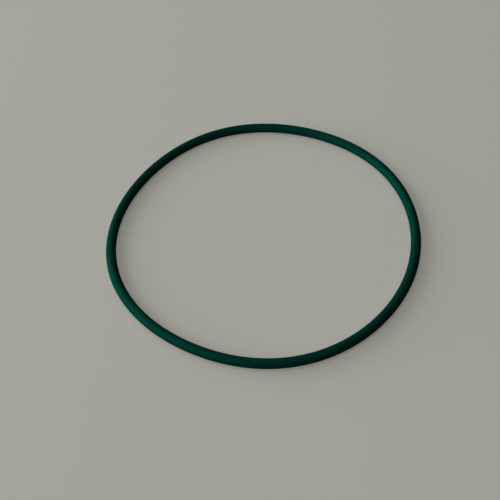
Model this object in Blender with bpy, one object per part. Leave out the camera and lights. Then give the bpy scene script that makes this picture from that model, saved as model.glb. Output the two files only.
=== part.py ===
"""O-ring: an endless ring of green rubber with a round section, lying free on a flat surface."""

import math

import bpy

# Driving dimensions, in metres
INSIDE_DIAMETER = 0.0900  # across the hole of the ring, between the roots of the flash
SECTION_DIAMETER = 0.0030  # thickness of the rubber
FLASH_WIDTH = 0.00030  # the trimmed parting line, at its root
FLASH_CREST = 0.00012  # the same, along its top
FLASH_HEIGHT = 0.00005  # how far it stands out of the round section

# Out of its groove the ring is slightly out of round: how often it bulges in a turn, by how much, and where
LOBES = (
    {"count": 3, "bulge": 0.00022, "bearing": math.radians(-56)},
    {"count": 4, "bulge": 0.00035, "bearing": math.radians(14)},
    {"count": 5, "bulge": 0.00009, "bearing": math.radians(-30)},
    {"count": 6, "bulge": 0.00005, "bearing": math.radians(-21)},
)

# How finely the curves are divided. An odd number of steps over half the section leaves a flat to lie on
RING_STEPS = 120
ARC_STEPS = 13

# Dark blue-green, with the dull satin of a moulded surface
RUBBER_COLOUR = (0.001, 0.023, 0.017, 1.0)
RUBBER_ROUGHNESS = 0.65


def clear_scene():
    for item in list(bpy.data.objects):
        bpy.data.objects.remove(item, do_unlink=True)


def new_collection(name):
    collection = bpy.data.collections.new(name)
    bpy.context.scene.collection.children.link(collection)
    return collection


def green_rubber():
    material = bpy.data.materials.new("green_rubber")
    material.use_nodes = True
    shader = material.node_tree.nodes["Principled BSDF"]
    shader.inputs["Base Color"].default_value = RUBBER_COLOUR
    shader.inputs["Roughness"].default_value = RUBBER_ROUGHNESS
    shader.inputs["Metallic"].default_value = 0.0
    return material


def half_section():
    """Left to right over the top: crest of the flash, its root, the arc to the far root, the far crest."""
    root_angle = math.asin(FLASH_WIDTH / SECTION_DIAMETER)
    step = (math.pi - 2 * root_angle) / ARC_STEPS
    corner_radius = SECTION_DIAMETER / 2 / math.cos(step / 2)  # so that the flats lie one diameter apart
    crest = SECTION_DIAMETER / 2 + FLASH_HEIGHT
    points = [(-crest, FLASH_CREST / 2)]
    for i in range(ARC_STEPS + 1):
        angle = root_angle + i * step
        points.append((-corner_radius * math.cos(angle), corner_radius * math.sin(angle)))
    points.append((crest, FLASH_CREST / 2))
    return points


def closed_curve(name, points):
    """A closed run of straight pieces through the points, each (x, y), in the curve's own plane."""
    data = bpy.data.curves.new(name, "CURVE")
    data.dimensions = "3D"
    data.twist_mode = "Z_UP"
    spline = data.splines.new("POLY")
    spline.points.add(len(points) - 1)
    for point, (x, y) in zip(spline.points, points):
        point.co = (x, y, 0.0, 1.0)
    spline.use_cyclic_u = True
    spline.use_smooth = True
    return bpy.data.objects.new(name, data)


def section_guide(guides):
    """The moulded section, upper half and lower half, as a guide for the sweep."""
    upper = half_section()
    lower = [(-x, -y) for x, y in upper]
    guide = closed_curve("section_guide", upper + lower)
    guide.hide_render = True
    guide.display_type = "WIRE"
    guides.objects.link(guide)
    return guide


def centreline_points():
    mean_radius = (INSIDE_DIAMETER + SECTION_DIAMETER) / 2
    points = []
    for i in range(RING_STEPS):
        bearing = 2 * math.pi * i / RING_STEPS
        radius = mean_radius
        for lobe in LOBES:
            radius += lobe["bulge"] * math.cos(lobe["count"] * (bearing - lobe["bearing"]))
        points.append((radius * math.cos(bearing), radius * math.sin(bearing)))
    return points


def o_ring(parts, guides):
    """The section swept round the closed centreline, which runs half a section above the surface."""
    ring = closed_curve("o_ring", centreline_points())
    ring.data.bevel_mode = "OBJECT"
    ring.data.bevel_object = section_guide(guides)
    ring.data.materials.append(green_rubber())
    ring.location.z = SECTION_DIAMETER / 2
    parts.objects.link(ring)
    return ring


def main():
    clear_scene()
    o_ring(new_collection("O-ring"), new_collection("Guides"))


main()
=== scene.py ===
# Dresses the o-ring: a moulded ring of dark green rubber on a plain pale floor.
# Lengths are in metres, angles in degrees, colours linear.

import math

import bmesh
import bpy
from mathutils import Euler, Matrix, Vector


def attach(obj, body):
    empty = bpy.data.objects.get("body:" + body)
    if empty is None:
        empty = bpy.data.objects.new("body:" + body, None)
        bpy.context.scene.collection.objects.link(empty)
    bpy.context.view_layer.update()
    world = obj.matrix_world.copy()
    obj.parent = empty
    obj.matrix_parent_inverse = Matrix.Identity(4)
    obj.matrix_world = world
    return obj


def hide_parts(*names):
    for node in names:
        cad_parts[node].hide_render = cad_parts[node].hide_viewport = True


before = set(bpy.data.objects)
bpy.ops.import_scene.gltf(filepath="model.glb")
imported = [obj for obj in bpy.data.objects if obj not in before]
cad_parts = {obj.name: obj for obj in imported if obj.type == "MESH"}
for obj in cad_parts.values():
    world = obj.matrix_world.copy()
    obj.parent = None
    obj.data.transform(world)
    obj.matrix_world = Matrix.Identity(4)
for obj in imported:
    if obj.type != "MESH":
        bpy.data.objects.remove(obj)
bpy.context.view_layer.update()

scene = bpy.context.scene


def deselectAll():
    bpy.ops.object.select_all(action="DESELECT")


def applyPlace(obj):
    deselectAll()
    obj.select_set(True)
    bpy.context.view_layer.objects.active = obj
    bpy.ops.object.transform_apply(location=True, rotation=True, scale=True)


# Node maths: a Wire holds a socket, and an expression on Wires adds its Math nodes

class Wire:
    def __init__(self, tree, socket):
        self.tree = tree
        self.socket = socket

    def maths(self, operation, *others):
        node = self.tree.nodes.new("ShaderNodeMath")
        node.operation = operation
        for place, value in enumerate((self, *others)):
            if isinstance(value, Wire):
                self.tree.links.new(value.socket, node.inputs[place])
            else:
                node.inputs[place].default_value = value
        return Wire(self.tree, node.outputs[0])

    def __add__(self, other):
        return self.maths("ADD", other)

    def __radd__(self, other):
        return self.maths("ADD", other)

    def __sub__(self, other):
        return self.maths("SUBTRACT", other)

    def __rsub__(self, other):
        return self.maths("MULTIPLY", -1.0).maths("ADD", other)

    def __mul__(self, other):
        return self.maths("MULTIPLY", other)

    def __rmul__(self, other):
        return self.maths("MULTIPLY", other)

    def distance(self, level):
        return self.maths("SUBTRACT", level).maths("ABSOLUTE")

    def squared(self):
        return self.maths("MULTIPLY", self)

    def root(self):
        return self.maths("SQRT")


class NodeTree:
    # Any node is added by its type, its settings, and the values or links of its sockets
    def __init__(self, tree):
        self.tree = tree

    def node(self, kind, settings=None, inputs=None, output=0):
        made = self.tree.nodes.new(kind)
        for key, value in (settings or {}).items():
            setattr(made, key, value)
        for key, value in (inputs or {}).items():
            if isinstance(value, Wire):
                self.tree.links.new(value.socket, made.inputs[key])
            else:
                made.inputs[key].default_value = value
        return Wire(self.tree, made.outputs[output])

    def between(self, value, low, high):
        # 0 below low, 1 above high, and smooth from one to the other
        return self.node("ShaderNodeMapRange", {"interpolation_type": "SMOOTHSTEP"}, {
            "Value": value, "From Min": low, "From Max": high})

    def show(self, wire):
        ending = "World Output" if "World Output" in self.tree.nodes else "Material Output"
        self.tree.links.new(wire.socket, self.tree.nodes[ending].inputs["Surface"])


class Finish(NodeTree):
    # A material: what is the same all over is set on its shader, and the rest is fed to it
    def __init__(self, name, constants):
        self.material = bpy.data.materials.new(name)
        self.material.use_nodes = True
        super().__init__(self.material.node_tree)
        self.shader = self.tree.nodes["Principled BSDF"]
        for socket, value in constants.items():
            self.shader.inputs[socket].default_value = value

    def feed(self, socket, wire):
        self.tree.links.new(wire.socket, self.shader.inputs[socket])

    def noise(self, place, scale, detail):
        return self.node("ShaderNodeTexNoise", inputs={"Vector": place, "Scale": scale, "Detail": detail})

    def mixColours(self, factor, first, second):
        return self.node("ShaderNodeMix", {"data_type": "RGBA"}, {0: factor, 6: first, 7: second}, output=2)

    def mixInto(self, factor, other):
        # by this factor, another shader takes the place of the material's own
        own = Wire(self.tree, self.shader.outputs[0])
        self.show(self.node("ShaderNodeMixShader", inputs={0: factor, 1: own, 2: other}))


# The ring

ringSize = {
    "insideDiameter": 0.090,
    "section": 0.003,
    "flashReach": 0.00005,       # how far the parting line stands out
    "flashProfile": [1.0, 0.8],  # share of that reach on the crest and on its neighbours on either side
    "sides": 128,                # round the section
    "steps": 400,                # round the ring
    "mergeWithin": 0.00001,      # where the turn closes
    "lobes": [                   # how often it bulges in a turn, by how much, and where
        (3, 0.00022, -56),
        (4, 0.00035, 14),
        (5, 0.00009, -30),
        (6, 0.00005, -21),
    ],
}


def bulge(bearing):
    return sum(rise * math.cos(count * (bearing - math.radians(where)))
               for count, rise, where in ringSize["lobes"])


def makeRing():
    half = ringSize["section"] / 2
    meanRadius = ringSize["insideDiameter"] / 2 + half

    # the section, standing at the ring's right-hand side
    deselectAll()
    bpy.ops.mesh.primitive_circle_add(
        vertices=ringSize["sides"], radius=half, fill_type="NOTHING",
        location=(meanRadius, 0, half), rotation=(math.radians(90), 0, 0))
    ring = bpy.context.object
    ring.name = "rubber_ring"
    applyPlace(ring)

    # the parting line stands out at both equators of the section
    bpy.ops.object.mode_set(mode="EDIT")
    sideAngle = 2 * math.pi / ringSize["sides"]
    for side in (-1, 1):
        for away, share in enumerate(ringSize["flashProfile"]):
            section = bmesh.from_edit_mesh(ring.data)
            for vert in section.verts:
                angle = math.atan2(vert.co.z - half, side * (vert.co.x - meanRadius))
                vert.select = abs(abs(angle) - away * sideAngle) < sideAngle / 4
            section.select_flush_mode()
            bmesh.update_edit_mesh(ring.data)
            bpy.ops.transform.translate(value=(side * share * ringSize["flashReach"], 0, 0))

    # one turn round the ring's axis
    bpy.ops.mesh.select_all(action="SELECT")
    bpy.ops.mesh.spin(steps=ringSize["steps"], angle=2 * math.pi, center=(0, 0, 0), axis=(0, 0, 1))
    bpy.ops.mesh.select_all(action="SELECT")
    bpy.ops.mesh.remove_doubles(threshold=ringSize["mergeWithin"])
    bpy.ops.mesh.normals_make_consistent(inside=False)
    bpy.ops.object.mode_set(mode="OBJECT")

    # a free ring isn't quite round
    for vert in ring.data.vertices:
        bearing = math.atan2(vert.co.y, vert.co.x)
        outward = Vector((math.cos(bearing), math.sin(bearing), 0))
        vert.co += outward * bulge(bearing)
    deselectAll()
    ring.select_set(True)
    bpy.ops.object.shade_smooth()
    return ring


rubberLook = {
    "base": (0.0007, 0.0060, 0.0055, 1),
    "deep": (0.0006, 0.0050, 0.0046, 1),     # where the tone is a little deeper
    "toneScale": 220,
    "toneDetail": 3.0,
    "toneFrom": 0.35,                        # the noise below this is all base, and above the next all deep
    "toneTo": 0.65,
    "roughness": 0.65,
    "roughnessDrift": 0.05,
    "satin": (0.006, 0.5, 0.345, 1),         # the green gleam of its moulded skin
    "satinShare": 0.040,
    "satinDrift": 0.006,
    "brushed": 0.37,                         # the marks along the ring draw the gleam out across it
    "brushedTurn": 0.25,
    "line": (0.0010, 0.0100, 0.0086, 1),     # the trimmed parting line
    "lineHalfWidth": 0.00004,
    "lineFaded": 0.00014,                    # this far from its middle it has faded out
    "lineDuller": 0.1,
    "lineSatinLoss": 0.006,
    "grainScale": 9000,
    "grainDetail": 2.0,
    "grainHeight": 0.00003,
    "markScale": 16000,                      # fine lines left along the ring by the turned mould
    "markDetail": 1.0,
    "markDrift": 0.004,                      # how fast they change along it, against across it
    "markHeight": 0.00001,
}


def rubberFinish():
    half = ringSize["section"] / 2
    finish = Finish("green_rubber_looks", {"Specular IOR Level": 0.0})
    place = finish.node("ShaderNodeTexCoord", output="Object")
    split = {axis: finish.node("ShaderNodeSeparateXYZ", inputs={0: place}, output=axis) for axis in "XYZ"}
    outward = (split["X"].squared() + split["Y"].squared()).root()

    # tone drifts slowly, and the trimmed line is paler and duller
    drift = finish.noise(place, rubberLook["toneScale"], rubberLook["toneDetail"])
    depth = finish.between(drift, rubberLook["toneFrom"], rubberLook["toneTo"])
    tone = finish.mixColours(depth, rubberLook["base"], rubberLook["deep"])
    fromLine = split["Z"].distance(half)
    line = 1 - finish.between(fromLine, rubberLook["lineHalfWidth"], rubberLook["lineFaded"])
    sway = drift * 2 - 1                     # from -1 to 1, and 0 on the whole
    duller = line * rubberLook["lineDuller"]
    roughness = rubberLook["roughness"] + sway * rubberLook["roughnessDrift"] + duller

    # moulded grain, and marks that run along the ring
    grain = finish.noise(place, rubberLook["grainScale"], rubberLook["grainDetail"])
    across = finish.node("ShaderNodeCombineXYZ", inputs={
        0: outward, 1: split["Z"], 2: split["X"] * rubberLook["markDrift"]})
    marks = finish.noise(across, rubberLook["markScale"], rubberLook["markDetail"])
    surface = finish.node("ShaderNodeBump", inputs={
        "Height": grain * rubberLook["grainHeight"] + marks * rubberLook["markHeight"],
        "Strength": 1.0, "Distance": 1.0})

    finish.feed("Base Color", finish.mixColours(line, tone, rubberLook["line"]))
    finish.feed("Roughness", roughness)
    finish.feed("Normal", surface)
    satin = finish.node("ShaderNodeBsdfPrincipled", inputs={
        "Base Color": rubberLook["satin"], "Specular Tint": rubberLook["satin"], "Metallic": 1.0,
        "Anisotropic": rubberLook["brushed"], "Anisotropic Rotation": rubberLook["brushedTurn"],
        "Roughness": roughness, "Normal": surface})
    share = rubberLook["satinShare"] + sway * rubberLook["satinDrift"] - line * rubberLook["lineSatinLoss"]
    finish.mixInto(share, satin)
    return finish.material


ring = makeRing()
ring.data.materials.append(rubberFinish())
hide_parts("o_ring")
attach(ring, "root")
print("ring made:", len(ring.data.vertices), "points,", len(ring.data.polygons), "faces")

# The floor

floorLook = {
    "size": 12.0,
    "colour": (0.346, 0.345, 0.308, 1),
    "roughness": 0.9,
    "specular": 0.0,
    "fill": 0.45,                            # painted fill light: for the camera the floor glows by this share of its colour, which lightens the ring's shadow on it
    "evenFrom": 0.12,                        # past here the floor grows even, and fades into the background
    "evenAt": 0.5,
}


def makeFloor():
    deselectAll()
    bpy.ops.mesh.primitive_plane_add(size=floorLook["size"], location=(0, 0, 0))
    floor = bpy.context.object
    floor.name = "floor"
    finish = Finish("pale_floor", {
        "Base Color": floorLook["colour"],
        "Roughness": floorLook["roughness"],
        "Specular IOR Level": floorLook["specular"],
    })
    place = finish.node("ShaderNodeTexCoord", output="Object")
    away = finish.node("ShaderNodeVectorMath", {"operation": "LENGTH"}, {0: place}, output="Value")
    even = finish.between(away, floorLook["evenFrom"], floorLook["evenAt"])
    fill = even * (1 - floorLook["fill"]) + floorLook["fill"]
    # painted light: for the camera alone the floor partly glows with its own colour, which lifts the ring's
    # shadow near it, and past evenAt it glows fully as an even backdrop
    cameraRay = finish.node("ShaderNodeLightPath", output="Is Camera Ray")
    own = finish.node("ShaderNodeEmission", inputs={"Color": floorLook["colour"], "Strength": 1.0})
    finish.mixInto(cameraRay * fill, own)
    floor.data.materials.append(finish.material)
    return floor


makeFloor()
print("floor made")

# Lights: wide low windows at the left, a higher one in front of them, and soft light from behind and above

lampPlan = {
    "low_window": {"bearing": 180, "height": 6, "size": (0.64, 0.24), "level": 0.35},
    "window_behind": {"bearing": 136, "height": 14.5, "size": (0.96, 0.78), "level": 0.53},
    "window_far": {"bearing": 158, "height": 25, "size": (0.96, 0.96), "level": 0.66},
    "window_near": {"bearing": 202, "height": 25, "size": (0.96, 0.96), "level": 0.57},
    "high_near": {"bearing": 225, "height": 45, "size": (0.96, 0.96), "level": 0.20},
    "behind": {"bearing": 90, "height": 30, "size": (0.96, 0.96), "level": 0.14},
    "overhead": {"bearing": 90, "height": 88, "size": (0.96, 0.96), "level": 0.28},
}
lampDistance = 1.6
whiteCard = math.pi ** 2                     # watts that light a white card to 1 from a metre away


def makeLamps():
    for name, plan in lampPlan.items():
        bearing = math.radians(plan["bearing"])
        height = math.radians(plan["height"])
        towards = Vector((math.cos(height) * math.cos(bearing),
                          math.cos(height) * math.sin(bearing), math.sin(height)))
        lamp = bpy.data.lights.new(name, "AREA")
        lamp.shape = "RECTANGLE"
        lamp.size, lamp.size_y = plan["size"]
        lamp.energy = plan["level"] * whiteCard * lampDistance ** 2
        holder = bpy.data.objects.new(name, lamp)
        holder.location = towards * lampDistance
        holder.rotation_euler = towards.to_track_quat("Z", "Y").to_euler()
        scene.collection.objects.link(holder)


makeLamps()

worldLook = {
    "colour": floorLook["colour"],           # what the camera sees past the floor's edge
    "light": 0.03,                           # how much of it falls on the ring
}


def makeWorld():
    world = bpy.data.worlds.new("studio")
    scene.world = world
    world.use_nodes = True
    studio = NodeTree(world.node_tree)
    cameraRay = studio.node("ShaderNodeLightPath", output="Is Camera Ray")
    strength = cameraRay * (1 - worldLook["light"]) + worldLook["light"]
    studio.show(studio.node("ShaderNodeBackground", inputs={
        "Color": worldLook["colour"], "Strength": strength}))


makeWorld()
print("lamps and world made")

# The camera, at the photograph's angle

cameraPlan = {
    "place": (-0.00455, -0.18264, 0.22086),
    "turn": (38.777, 2.429, -3.020),
    "lens": 66.83,
    "sensor": 36.0,
    "nearest": 0.01,
}


def makeCamera():
    data = bpy.data.cameras.new("camera")
    data.lens = cameraPlan["lens"]
    data.sensor_width = cameraPlan["sensor"]
    data.clip_start = cameraPlan["nearest"]
    camera = bpy.data.objects.new("camera", data)
    camera.location = cameraPlan["place"]
    camera.rotation_euler = Euler([math.radians(angle) for angle in cameraPlan["turn"]])
    scene.collection.objects.link(camera)
    scene.camera = camera


makeCamera()
scene.view_settings.view_transform = "Standard"
print("camera made")
